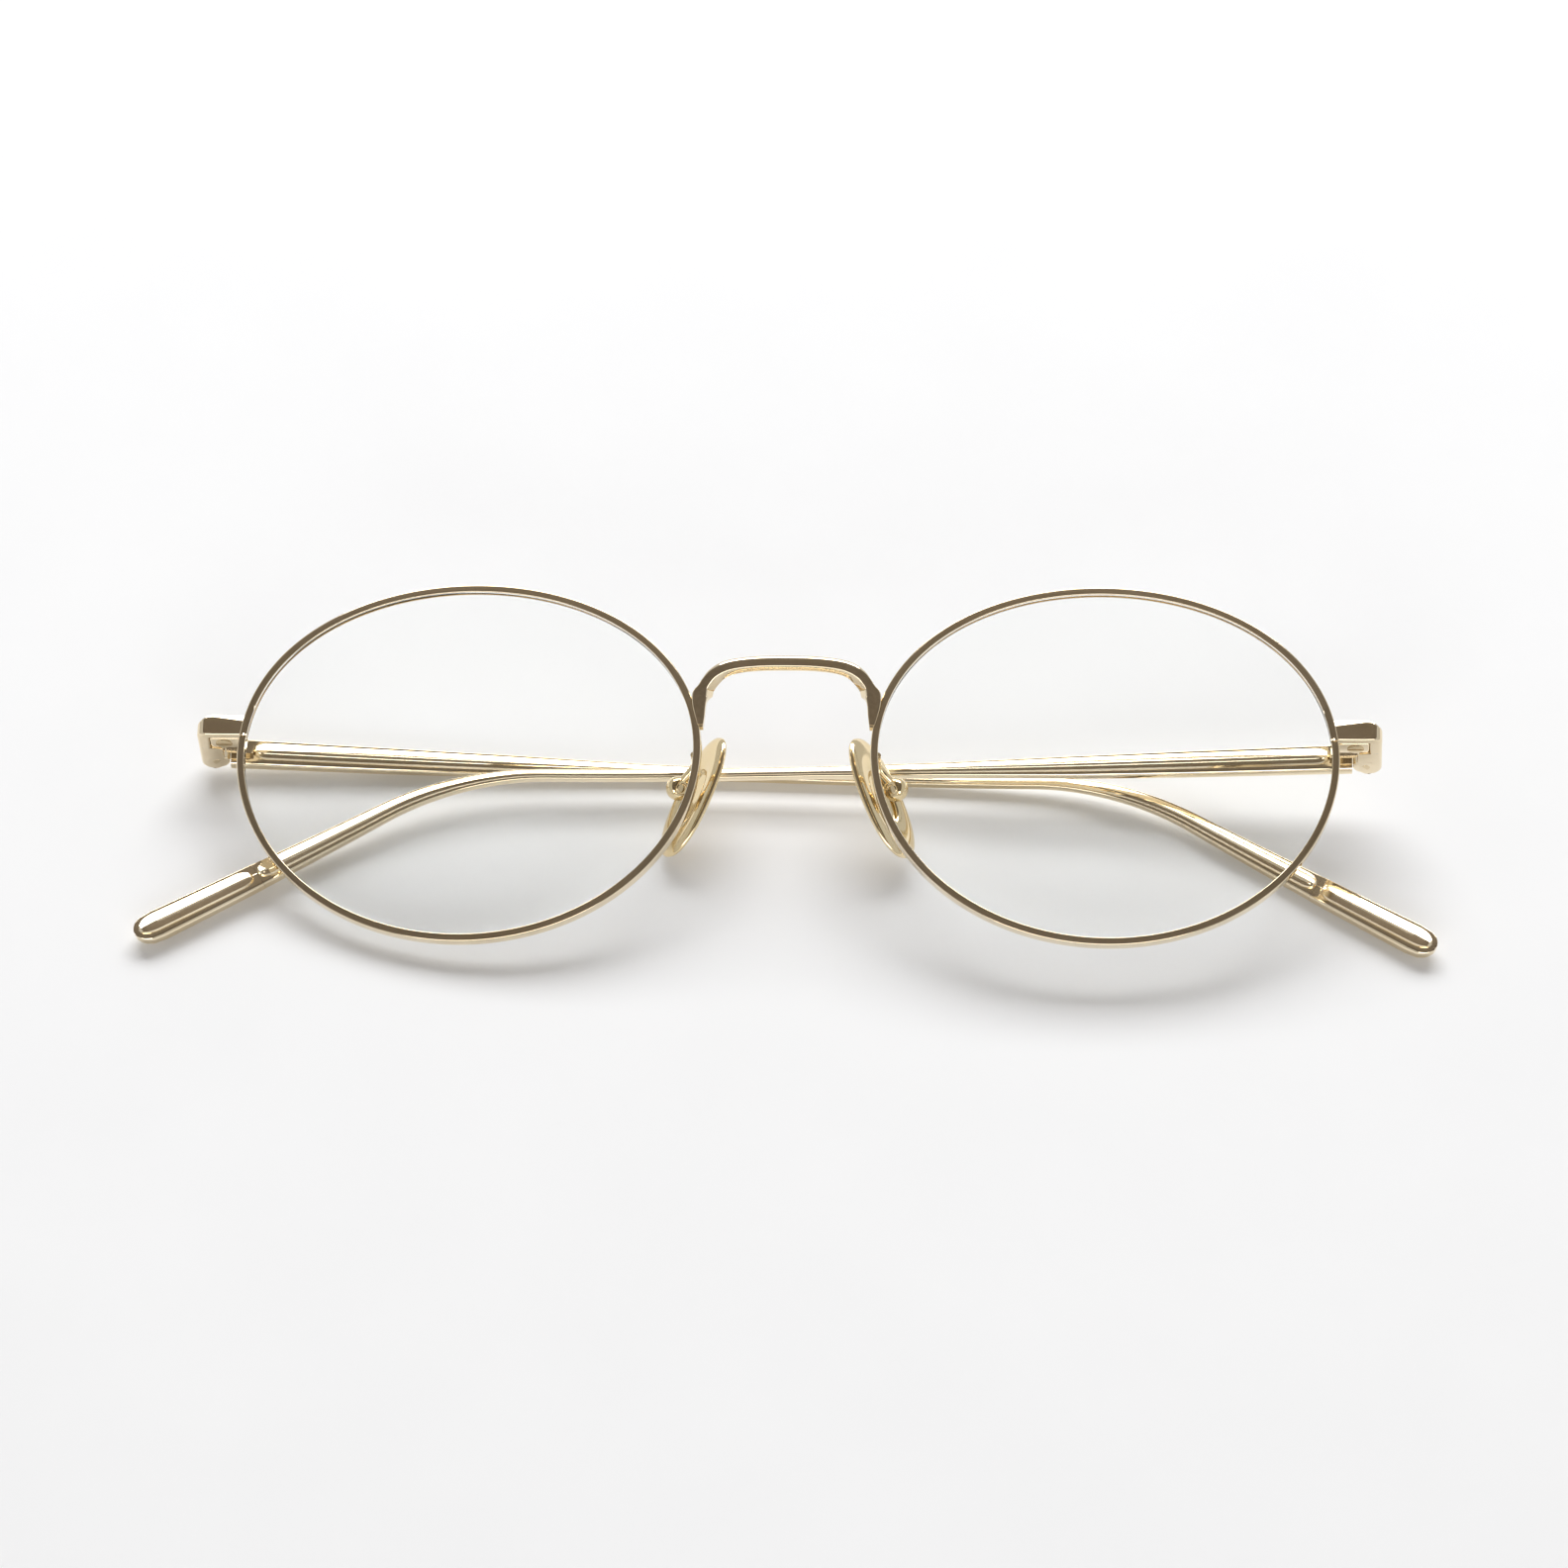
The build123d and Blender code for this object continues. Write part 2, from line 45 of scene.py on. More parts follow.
# ------------------------------------------------------------------ the front's own axes
# X to the wearer's left, Y up as worn, Z out of the front, in mm from the lens centres' middle.
REST_TILT = math.radians(21.4)
REST_ROLL = math.radians(2.12)
PANTOSCOPIC = math.radians(8.0)
END_ORIGIN = Vector((0, 5.3, -3.8))
LEG = Vector((0, -math.sin(PANTOSCOPIC), -math.cos(PANTOSCOPIC)))
UP = Vector((0, math.cos(PANTOSCOPIC), -math.sin(PANTOSCOPIC)))
HINGE_X = 65.1
HINGE_DEPTH = 6.3
HINGE_POINT = END_ORIGIN + LEG * HINGE_DEPTH + Vector((HINGE_X, 0, 0))

joints = {joint["name"]: joint for joint in frame["joints"]}
hinge_middle = (Vector(joints["temple_left_hinge"]["pos_m"])
                + Vector(joints["temple_right_hinge"]["pos_m"])) / 2
rest_turn = Matrix.Rotation(-REST_ROLL, 4, "Y") @ Matrix.Rotation(REST_TILT, 4, "X")
hinge_local = Vector((0, HINGE_POINT.y, HINGE_POINT.z)) * MM
front_place = Matrix.Translation(hinge_middle - rest_turn @ hinge_local) @ rest_turn @ Matrix.Scale(MM, 4)


# ------------------------------------------------------------------ modelling helpers
def start_piece(name, adder, **settings):
    """Add a primitive as a new piece, with nothing else selected."""
    bpy.ops.object.select_all(action="DESELECT")
    adder(**settings)
    piece = bpy.context.active_object
    piece.name = name
    piece.data.name = name
    return piece


def select_only(piece):
    bpy.ops.object.select_all(action="DESELECT")
    piece.select_set(True)
    bpy.context.view_layer.objects.active = piece


def edit(piece, mode="FACE"):
    """Open a piece in edit mode with nothing selected."""
    select_only(piece)
    bpy.ops.object.mode_set(mode="EDIT")
    bpy.ops.mesh.select_mode(type=mode)
    bpy.ops.mesh.select_all(action="DESELECT")


def close_edit():
    bpy.ops.object.mode_set(mode="OBJECT")


def modify(piece, kind, **settings):
    """Add a modifier with its settings and apply it."""
    select_only(piece)
    modifier = piece.modifiers.new(kind.title(), kind)
    for key, value in settings.items():
        setattr(modifier, key, value)
    bpy.ops.object.modifier_apply(modifier=modifier.name)


def reshape(piece, rule):
    """Move every vertex to where a formula puts it."""
    for vertex in piece.data.vertices:
        vertex.co = rule(vertex.co)


def tidy_normals(piece):
    """Join points that fall together, and turn every face outward."""
    edit(piece)
    bpy.ops.mesh.select_all(action="SELECT")
    bpy.ops.mesh.remove_doubles(threshold=1e-5)
    bpy.ops.mesh.normals_make_consistent(inside=False)
    close_edit()


def smooth(piece, angle):
    """Shade smooth, with an edge kept sharp where its faces turn by more than an angle in degrees."""
    select_only(piece)
    bpy.ops.object.shade_smooth_by_angle(angle=math.radians(angle))


def mirrored(piece, name):
    """A copy with its own mesh on the other side of the nose."""
    copy = piece.copy()
    copy.data = piece.data.copy()
    copy.name = name
    copy.data.name = name
    bpy.context.collection.objects.link(copy)
    copy.data.transform(Matrix.Scale(-1, 4, (1, 0, 0)))
    copy.data.flip_normals()
    return copy


def put(piece, place, body, slot, *nodes):
    """Put a piece made in mm into its place, give it its finish, and hand it to the frame."""
    piece.data.transform(place)
    if place.determinant() < 0:
        piece.data.flip_normals()
    piece.data.materials.clear()
    piece.data.materials.append(materials[slot])
    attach(piece, body)
    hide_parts(*nodes)


# ------------------------------------------------------------------ shader helpers
SCRATCH_STRENGTH = 0.02
SCRATCH_DEPTH = 0.00002


class Socket:
    """A shader value that Python operators work on."""

    def __init__(self, shader, value):
        self.shader = shader
        self.value = value

    def _math(self, operation, first, second):
        return self.shader.node("ShaderNodeMath", {"operation": operation}, [first, second])

    def __add__(self, other):
        return self._math("ADD", self, other)

    __radd__ = __add__

    def __sub__(self, other):
        return self._math("SUBTRACT", self, other)

    def __mul__(self, other):
        return self._math("MULTIPLY", self, other)

    __rmul__ = __mul__


class Shader:
    """One material and the nodes made in it."""

    def __init__(self, name):
        self.material = bpy.data.materials.new(name)
        self.material.use_nodes = True
        self.tree = self.material.node_tree
        self.principled = self.tree.nodes["Principled BSDF"]
        self.coordinates = self.node("ShaderNodeTexCoord", {}, {}, "Object")

    def node(self, kind, settings, inputs, output=0):
        """Add a node, set it up, feed its inputs, and return one of its outputs."""
        made = self.tree.nodes.new(kind)
        for key, value in settings.items():
            if key == "stops":
                ramp = made.color_ramp
                while len(ramp.elements) < len(value):
                    ramp.elements.new(0.5)
                for element, (position, colour) in zip(ramp.elements, value):
                    element.position = position
                    element.color = colour
            else:
                setattr(made, key, value)
        pairs = inputs.items() if isinstance(inputs, dict) else enumerate(inputs)
        for key, value in pairs:
            self.feed(made.inputs[key], value)
        return Socket(self, made.outputs[output])

    def feed(self, target, value):
        if isinstance(value, Socket):
            self.tree.links.new(value.value, target)
        else:
            target.default_value = value

    def set(self, **values):
        """Feed inputs of the surface, with an underscore for each space in their names."""
        for key, value in values.items():
            self.feed(self.principled.inputs[key.replace("_", " ")], value)

    def noise(self, scale, detail=3.0, roughness=0.5, stretch=(1, 1, 1)):
        place = self.node("ShaderNodeMapping", {}, {"Vector": self.coordinates, "Scale": stretch})
        return self.node("ShaderNodeTexNoise", {}, {"Vector": place, "Scale": scale, "Detail": detail,
                                                    "Roughness": roughness})

    def ramp(self, factor, *stops):
        return self.node("ShaderNodeValToRGB", {"stops": stops}, {"Fac": factor}, "Color")

    def bump(self, height, strength, distance):
        return self.node("ShaderNodeBump", {}, {"Height": height, "Strength": strength,
                                                "Distance": distance}, "Normal")


def gold(name, light, dark, roughness, stretch=(1, 1, 1)):
    """Polished plated gold: slow colour drift, fine wear in the gloss, and hair-fine polishing lines."""
    shader = Shader(name)
    drift = shader.noise(90.0, 4.0)
    wear = shader.noise(900.0, 5.0, 0.6)
    lines = shader.noise(2600.0, 3.0, 0.7, stretch)
    shader.set(Base_Color=shader.ramp(drift, (0.3, (*dark, 1)), (0.7, (*light, 1))),
               Metallic=1.0,
               Roughness=roughness + 0.10 * (wear - 0.5) + 0.05 * (lines - 0.5),
               Normal=shader.bump(lines, SCRATCH_STRENGTH, SCRATCH_DEPTH))
    return shader.material


def matt(name, scale, detail, dark, light):
    """A matt surface whose tone drifts between two close tones."""
    shader = Shader(name)
    drift = shader.noise(scale, detail)
    shader.set(Base_Color=shader.ramp(drift, (0.3, (*dark, 1)), (0.7, (*light, 1))), Roughness=0.9)
    return shader.material


def clear_lens(name):
    """Clear lens: a thin coat that reflects a little, with faint wiping marks in the gloss."""
    shader = Shader(name)
    marks = shader.noise(60.0, 6.0, 0.6, (1, 3, 1))
    shader.set(Base_Color=(0.98, 0.985, 0.98, 1), Transmission_Weight=1.0, IOR=1.05,
               Roughness=0.02 * marks, Specular_IOR_Level=0.5)
    return shader.material


# one finish for each material slot of the record
ALONG_TEMPLE = (0.05, 1, 1)
materials = {
    "frame_gold": gold("polished_pale_gold", (0.90, 0.79, 0.60), (0.84, 0.71, 0.50), 0.08),
    "temple_gold": gold("brushed_pale_gold", (0.91, 0.80, 0.61), (0.85, 0.72, 0.50), 0.09, ALONG_TEMPLE),
    "pad_gold": gold("warm_pad_gold", (0.89, 0.75, 0.50), (0.83, 0.67, 0.40), 0.08),
    "screw_steel": gold("turned_screw_gold", (0.82, 0.69, 0.47), (0.70, 0.56, 0.34), 0.16),
    "lens": clear_lens("clear_lens_coat"),
}
slots = {part["node"]: part["material_slot"] for part in frame["record"]["subparts"]}
for node_name, cad_object in frame["nodes"].items():
    cad_object.data.materials.clear()
    cad_object.data.materials.append(materials[slots[node_name]])

# ------------------------------------------------------------------ shapes, in mm
LENS_SPACING = 72.0
RIM_HALF_WIDTH = 25.9
RIM_HALF_HEIGHT = 20.8
BASE_RADIUS = 132.0
WRAP = math.radians(3.0)
TOP_FULLNESS = 0.065
SQUARENESS = 0.009
RIM_STEPS = 420
SAW_CUT_AT = math.radians(10.6)
SAW_CUT = math.radians(0.45)
FILED_FROM = (3.85, 4.0)    # heights between which the filed stretch over the end piece begins
FILED_TO = (7.0, 7.3)       # and ends
LENS_FACE = -0.45           # the polished faces end this far inside the rim's middle line
LENS_HALF_THICK = 0.6


def loft(name, rings):
    """A closed piece through rings of points: a grid rolled into a tube, with its two ends filled."""
    count, around = len(rings), len(rings[0])
    piece = start_piece(name, bpy.ops.mesh.primitive_grid_add, x_subdivisions=count - 1,
                        y_subdivisions=around, size=2.0, location=(0, 0, 0))
    for vertex in piece.data.vertices:
        station = round((vertex.co.x + 1) / 2 * (count - 1))
        corner = round((vertex.co.y + 1) / 2 * around) % around
        vertex.co = rings[station][corner]
    edit(piece, "VERT")
    bpy.ops.mesh.select_all(action="SELECT")
    bpy.ops.mesh.remove_doubles(threshold=1e-4)
    bpy.ops.mesh.select_all(action="DESELECT")
    bpy.ops.mesh.select_non_manifold()
    bpy.ops.mesh.fill_holes(sides=0)
    bpy.ops.mesh.select_all(action="SELECT")
    bpy.ops.mesh.normals_make_consistent(inside=False)
    close_edit()
    return piece


def arc(centre, radius, start, end, steps):
    """Points of a rounded corner, with the angles in degrees."""
    angles = [math.radians(start + (end - start) * step / (steps - 1)) for step in range(steps)]
    return [(centre[0] + radius * math.cos(a), centre[1] + radius * math.sin(a)) for a in angles]


def rounded_box(low_a, high_a, low_b, high_b, radii, steps=5):
    """A rectangle with four rounded corners, starting at high a and high b and turning left."""
    first, second, third, fourth = radii
    return (arc((high_a - first, high_b - first), first, 0, 90, steps)
            + arc((low_a + second, high_b - second), second, 90, 180, steps)
            + arc((low_a + third, low_b + third), third, 180, 270, steps)
            + arc((high_a - fourth, low_b + fourth), fourth, 270, 360, steps))


def cut(piece, tool):
    """Take a helper shape away from a piece."""
    modify(piece, "BOOLEAN", operation="DIFFERENCE", solver="EXACT", object=tool)
    bpy.data.objects.remove(tool, do_unlink=True)
    tidy_normals(piece)


def unite(piece, other):
    """Weld another shape onto a piece."""
    modify(piece, "BOOLEAN", operation="UNION", solver="EXACT", object=other)
    bpy.data.objects.remove(other, do_unlink=True)
    tidy_normals(piece)


def block(name, low, high, place, bevel=0.0):
    """A block between two corners of a placed frame, with its edges rounded."""
    middle = [(a + b) / 2 for a, b in zip(low, high)]
    piece = start_piece(name, bpy.ops.mesh.primitive_cube_add, size=1.0, location=(0, 0, 0))
    size = [b - a for a, b in zip(low, high)]
    reshape(piece, lambda co: Vector([m + s * c for m, s, c in zip(middle, size, co)]))
    if bevel:
        modify(piece, "BEVEL", width=bevel, segments=3)
    piece.data.transform(place)
    return piece


def turned(name, place, profile, around=40):
    """A piece turned on a lathe: (radius, height) points about the place's Z axis."""
    rings = []
    for radius, height in profile:
        rings.append([place @ Vector((radius * math.cos(2 * math.pi * k / around),
                                      radius * math.sin(2 * math.pi * k / around), height))
                      for k in range(around)])
    return loft(name, rings)


# ------------------------------------------------------------------ rim and lens
def lens_point(angle, grow, rise, share=1.0):
    """A point of the oval, or of a smaller one inside it, grown and raised from the lens curve."""
    reach = 1 + SQUARENESS * math.sin(2 * angle) ** 2
    fullness = 1 + TOP_FULLNESS * math.sin(angle)
    across = (RIM_HALF_WIDTH + grow) * math.cos(angle) * reach * fullness * share
    up = (RIM_HALF_HEIGHT + grow) * math.sin(angle) * reach * share
    depth = math.sqrt((BASE_RADIUS + rise) ** 2 - across ** 2 - up ** 2) - BASE_RADIUS
    return Vector((LENS_SPACING / 2 + across * math.cos(WRAP) + depth * math.sin(WRAP), up,
                   depth * math.cos(WRAP) - across * math.sin(WRAP)))


def blend(value, low, high):
    """0 below low, 1 above high, smooth between."""
    share = min(max((value - low) / (high - low), 0.0), 1.0)
    return share * share * (3 - 2 * share)


def make_rim():
    """The rim: a grooved wire with a crowned front, filed down over the end piece, and saw-cut."""
    rings = []
    for step in range(RIM_STEPS + 1):
        angle = SAW_CUT_AT + (2 * math.pi - SAW_CUT) * step / RIM_STEPS
        height = RIM_HALF_HEIGHT * math.sin(angle)
        filed = 0.0
        if math.cos(angle) > 0:
            filed = blend(height, *FILED_FROM) * (1 - blend(height, *FILED_TO))
        inner = 0.75 - 0.25 * filed
        outline = arc((0.285, 0.61 - 0.05 * filed), 0.14, 0, 90, 8)
        outline += [(0.0, 0.755 - 0.10 * filed)]
        outline += arc((-0.315, inner - 0.11), 0.11, 90, 180, 8)
        outline += [(-0.425, 0.33), (-0.02, 0.32), (-0.02, -0.32), (-0.425, -0.33)]
        outline += arc((-0.285, -0.61), 0.14, 180, 270, 7)
        outline += arc((0.245, -0.57), 0.18, 270, 360, 7)
        rings.append([lens_point(angle, grow, rise) for grow, rise in outline])
    return loft("rim", rings)


def make_lens():
    """The lens: two polished curves and the edge that sits in the groove."""
    around = 160
    radial = [0.02, 0.1, 0.2, 0.3, 0.4, 0.5, 0.6, 0.7, 0.8, 0.88, 0.94, 0.975, 1.0]
    upper = [(share, LENS_FACE, LENS_HALF_THICK) for share in radial]
    edge = [(1.0, -0.445, 0.3), (1.0, -0.04, 0.24), (1.0, -0.04, -0.24), (1.0, -0.445, -0.3)]
    lower = [(share, LENS_FACE, -LENS_HALF_THICK) for share in reversed(radial)]
    return loft("lens", [[lens_point(2 * math.pi * k / around, grow, rise, share) for k in range(around)]
                         for share, grow, rise in upper + edge + lower])


# ------------------------------------------------------------------ end piece, lock and hinge
LEG_OUTER = 67.0
LEG_INNER = 64.25
LEG_BEVEL = 0.22
# across, depth back along the leg, height up the hinge axis
end_place = Matrix(((1, 0, 0, END_ORIGIN.x), (0, LEG.y, UP.y, END_ORIGIN.y),
                    (0, LEG.z, UP.z, END_ORIGIN.z), (0, 0, 0, 1)))


def make_end_piece():
    """The end piece: a front plate that turns round the corner into the slotted hinge leg."""
    path = []   # outer point, inner point, height of the bevel along the top of the front
    for x in (61.5, 62.3, 63.2, 64.2, 65.2, 65.85):
        path.append(((x, 0.0), (min(x, 65.5), 0.9), 0.82 - 0.14 * max(x - 61.5, 0)))
    for step in range(1, 13):
        turn = math.radians(90 * step / 12)
        path.append(((65.9 + 1.1 * math.sin(turn), 1.1 - 1.1 * math.cos(turn)),
                     (65.5 + 0.1 * math.sin(turn), 1.0 - 0.1 * math.cos(turn)), LEG_BEVEL))
    for depth, inner in ((1.6, 65.6), (2.4, 65.6), (3.15, 65.6), (3.3, 64.4), (3.5, LEG_INNER),
                         (4.5, LEG_INNER), (5.5, LEG_INNER), (6.3, LEG_INNER)):
        path.append(((LEG_OUTER, depth), (inner, depth), LEG_BEVEL))
    for step in range(1, 9):
        turn = math.radians(90 * step / 8 - 1)
        path.append(((66.05 + 0.95 * math.cos(turn), 6.72 + 0.95 * math.sin(turn)),
                     (65.35 - 1.1 * math.cos(turn), 6.5 + 1.15 * math.sin(turn)), LEG_BEVEL))
    rings = []
    for outer, inner, chamfer in path:
        depth = (outer[1] + inner[1]) / 2
        half = 1.3 + 0.32 * min(depth / 7.67, 1.0)
        top = half - 0.75 * blend(outer[0], 65.3, 67.15)
        foot = 0.34 + 0.2 * blend(outer[0], 65.2, 67.0)
        thick = math.dist(outer, inner)
        corner = min(0.25, thick * 0.3)
        bevel = min(0.30 * chamfer + 0.03, 0.30)
        outline = [(0.0, top - chamfer - 0.03), (0.03, top - chamfer), (bevel - 0.02, top - 0.03),
                   (bevel + 0.02, top)]
        outline += arc((thick - corner, top - corner), corner, 90, 0, 9)
        outline += arc((thick - corner, corner - half), corner, 0, -90, 9)
        outline += arc((foot * 0.8, foot - half), foot * 0.8, -90, -180, 10)
        ring = []
        for inwards, height in outline:
            share = inwards / thick
            ring.append(end_place @ Vector((outer[0] + (inner[0] - outer[0]) * share,
                                            outer[1] + (inner[1] - outer[1]) * share, height)))
        rings.append(ring)
    piece = loft("end_piece", rings)
    knuckle = turned("knuckle", end_place @ Matrix.Translation((HINGE_X, HINGE_DEPTH, 0)),
                     [(0.0005, -1.5), (1.15, -1.5), (1.28, -1.46), (1.36, -1.36), (1.36, 1.36), (1.28, 1.46),
                      (1.15, 1.5), (0.0005, 1.5)], 48)
    unite(piece, knuckle)
    cut(piece, block("tongue_slot", (62.5, 5.15, -0.65), (66.35, 8.5, 0.65), end_place))
    return piece


def make_screw(name, x, depth, shank, head, foot, top):
    """A slotted screw along the hinge axis, from its foot to the top of its head."""
    radius, thick = head
    flip = math.copysign(1, top - foot)
    profile = [(0.0005, foot), (shank - 0.08, foot), (shank, foot + flip * 0.08),
               (shank, top - flip * thick), (radius - 0.04, top - flip * thick),
               (radius, top - flip * (thick - 0.05)), (radius, top - flip * 0.12),
               (radius - 0.035, top - flip * 0.035), (radius - 0.13, top), (0.0005, top)]
    piece = turned(name, end_place @ Matrix.Translation((x, depth, 0)), profile)
    slot_low = (x - radius - 1, depth - 0.11, min(top - flip * 0.2, top + flip))
    slot_high = (x + radius + 1, depth + 0.11, max(top - flip * 0.2, top + flip))
    cut(piece, block("driver_slot", slot_low, slot_high, end_place))
    return piece


# ------------------------------------------------------------------ nose pad
PAD_HALF_WIDTH = 3.55
PAD_HALF_HEIGHT = 7.46
PAD_CENTRE = Vector((10.6, -2.0, -7.0))
PAD_ACROSS = Vector((-0.538, -0.346, 0.769)).normalized()
PAD_OUT = Vector((0.744, 0.233, 0.625)).normalized()
PAD_DOWN = PAD_OUT.cross(PAD_ACROSS).normalized()
PAD_AXIS = PAD_CENTRE + PAD_OUT * 2.5
pad_place = Matrix(((PAD_ACROSS.x, PAD_DOWN.x, PAD_OUT.x, PAD_CENTRE.x),
                    (PAD_ACROSS.y, PAD_DOWN.y, PAD_OUT.y, PAD_CENTRE.y),
                    (PAD_ACROSS.z, PAD_DOWN.z, PAD_OUT.z, PAD_CENTRE.z), (0, 0, 0, 1)))
pad_axis_place = Matrix(((PAD_OUT.x, PAD_DOWN.x, PAD_ACROSS.x, PAD_AXIS.x),
                         (PAD_OUT.y, PAD_DOWN.y, PAD_ACROSS.y, PAD_AXIS.y),
                         (PAD_OUT.z, PAD_DOWN.z, PAD_ACROSS.z, PAD_AXIS.z), (0, 0, 0, 1)))


def make_pad():
    """The metal nose pad: a thick rounded ridge round a narrow dish, and a flat back, wider lower down."""
    profile = [(0.02, -0.45), (0.3, -0.47), (0.55, -0.51)]
    profile += [(0.72 + 0.28 * math.sin(math.radians(a)), -0.55 * math.cos(math.radians(a)))
                for a in range(0, 181, 15)]
    profile += [(0.70 - 0.30 * math.sin(math.radians(a)), 0.55 * math.cos(math.radians(a)))
                for a in range(18, 91, 18)]
    profile += [(0.37, -0.05), (0.3, -0.07), (0.15, -0.08), (0.02, -0.08)]
    rings = []
    for share, rise in profile:
        ring = []
        for k in range(80):
            angle = 2 * math.pi * k / 80
            across = math.copysign(abs(math.cos(angle)) ** 0.85, math.cos(angle))
            down = math.copysign(abs(math.sin(angle)) ** 0.92, math.sin(angle))
            width = PAD_HALF_WIDTH * share * across * (1 + 0.05 * down)
            ring.append(pad_place @ Vector((width, PAD_HALF_HEIGHT * share * down, rise)))
        rings.append(ring)
    return loft("nose_pad", rings)


def make_pad_box():
    """The ball-shaped box that holds the pad's lug, with a flat collar round its screw."""
    profile = [(0.0005, -1.1), (0.62, -1.1), (0.85, -1.04), (1.14, -0.78), (1.33, -0.42), (1.4, 0.0),
               (1.33, 0.42), (1.18, 0.7), (1.0, 0.86), (0.8, 0.95), (0.66, 0.95), (0.60, 0.86),
               (0.0005, 0.86)]
    piece = turned("pad_box", pad_axis_place @ Matrix.Translation((-0.2, 0, 0)), profile)
    cut(piece, block("lug_slot", (-2.5, -0.95, -0.45), (0.55, 0.95, 0.45), pad_axis_place))
    return piece


def make_pad_screw():
    """The slotted screw on which the pad rocks."""
    profile = [(0.0005, -1.0), (0.3, -1.0), (0.3, 0.72), (0.52, 0.74), (0.55, 0.8), (0.55, 0.93),
               (0.5, 0.99), (0.4, 1.02), (0.0005, 1.04)]
    piece = turned("pad_screw", pad_axis_place, profile, 32)
    cut(piece, block("driver_slot", (-1, -0.08, 0.9), (1, 0.08, 2), pad_axis_place))
    return piece


def swept(name, path, outline_at, up):
    """A loft along a path of points, with an outline (sideways, towards up) at each of them."""
    rings = []
    for index, point in enumerate(path):
        before = path[max(index - 1, 0)]
        after = path[min(index + 1, len(path) - 1)]
        ahead = (after - before).normalized()
        side = ahead.cross(up).normalized()
        top = side.cross(ahead).normalized()
        rings.append([point + side * a + top * b for a, b in outline_at(point)])
    return loft(name, rings)


def smooth_path(points, steps=10):
    """A smooth curve through points."""
    ends = [points[0] * 2 - points[1], *points, points[-1] * 2 - points[-2]]
    path = []
    for index in range(len(points) - 1):
        before, start, end, after = ends[index:index + 4]
        for step in range(steps):
            t = step / steps
            path.append(0.5 * ((2 * start) + (end - before) * t
                               + (2 * before - 5 * start + 4 * end - after) * t ** 2
                               + (3 * start - before - 3 * end + after) * t ** 3))
    return path + [points[-1]]


def make_pad_arm():
    """The round wire that goes from the rim's back round to the pad box."""
    path = smooth_path([Vector(p) for p in ((10.3, 1.1, -1.3), (10.25, 0.8, -2.6), (10.45, 0.6, -3.9),
                                            (11.3, -0.3, -4.6), (12.1, -1.0, -5.2))])
    return swept("pad_arm", path, lambda point: arc((0, 0), 0.44, 0, 348.75, 32), Vector((0, 1, 0)))


# ------------------------------------------------------------------ bridge
def make_bridge():
    """The bridge: a bar with a rounded top, turned down at its ends into two pointed feet."""
    half = [(0.0, 11.45, 0.85), (3.0, 11.4, 0.83), (5.6, 11.15, 0.76), (7.2, 10.75, 0.6), (8.3, 10.1, 0.33),
            (9.0, 9.3, 0.0), (9.45, 8.6, -0.3), (9.75, 7.9, -0.58), (9.85, 6.8, -0.9), (9.75, 5.6, -1.1),
            (9.68, 4.7, -1.15), (9.65, 4.2, -1.15)]
    points = [Vector((-x, y, z)) for x, y, z in reversed(half[1:])] + [Vector(p) for p in half]
    path = smooth_path(points, 9)

    def outline_at(point):
        low = point.y
        bar = blend(low, 9.3, 10.9)
        width = 0.55 + 0.17 * bar
        if low < 9.0:
            width = 0.55 + 0.32 * blend(9.0 - low, 0.0, 1.1)
        if low < 7.9:
            width = 0.87 - 0.60 * min((7.9 - low) / 3.7, 1.0) ** 1.4
        thick = 0.68 if low > 4.45 else 0.55
        fine = min(width, thick) * 0.22
        flare = 0.42 * blend(low, 7.0, 8.6) * (1 - 0.8 * blend(low, 9.6, 11.4))
        top = fine + (0.62 - fine) * bar
        outline = rounded_box(-width, width, -thick, thick, (fine, top, fine, fine), 8)
        return [(a + (flare * (thick - b) if a > 0 else 0.0), b) for a, b in outline]

    return swept("bridge", path, outline_at, Vector((0, 0, 1)))


# ------------------------------------------------------------------ temple
TEMPLE_OFFSET = 0.7
BEND_AT = 102.56
BEND_ANGLE = math.radians(31.87)
BEND_RADIUS = 34.5
TIP_START = 128.2
TIP_END = 143.87
ARCH = 0.00029          # sideways curve of the whole temple
EAR_START = 75.0
EAR_RADIUS = 423.0      # of the sideways curve that is added from EAR_START on
BAND_SLOPE = 0.31       # of the upper band on the temple's inner face
DROOP = {"right": math.radians(1.69), "left": math.radians(0.79)}
FOLD = {"right": 0.0303, "left": 0.0748}
# distance from the hinge, half height and half thickness, wherever the size starts to change
TEMPLE_SECTIONS = ((1.0, 1.6, 0.95), (20.0, 1.45, 0.85), (33.0, 1.25, 0.75), (48.0, 0.8, 0.65),
                   (62.0, 0.6, 0.65), (95.0, 0.6, 0.65), (110.0, 0.95, 0.7), (129.2, 1.5, 0.95))
TIP_SECTIONS = ((TIP_START, 1.5, 0.95), (141.0, 1.75, 1.05), (142.5, 1.62, 0.98),
                (143.25, 1.25, 0.85), (143.65, 0.85, 0.7), (TIP_END, 0.4, 0.5))


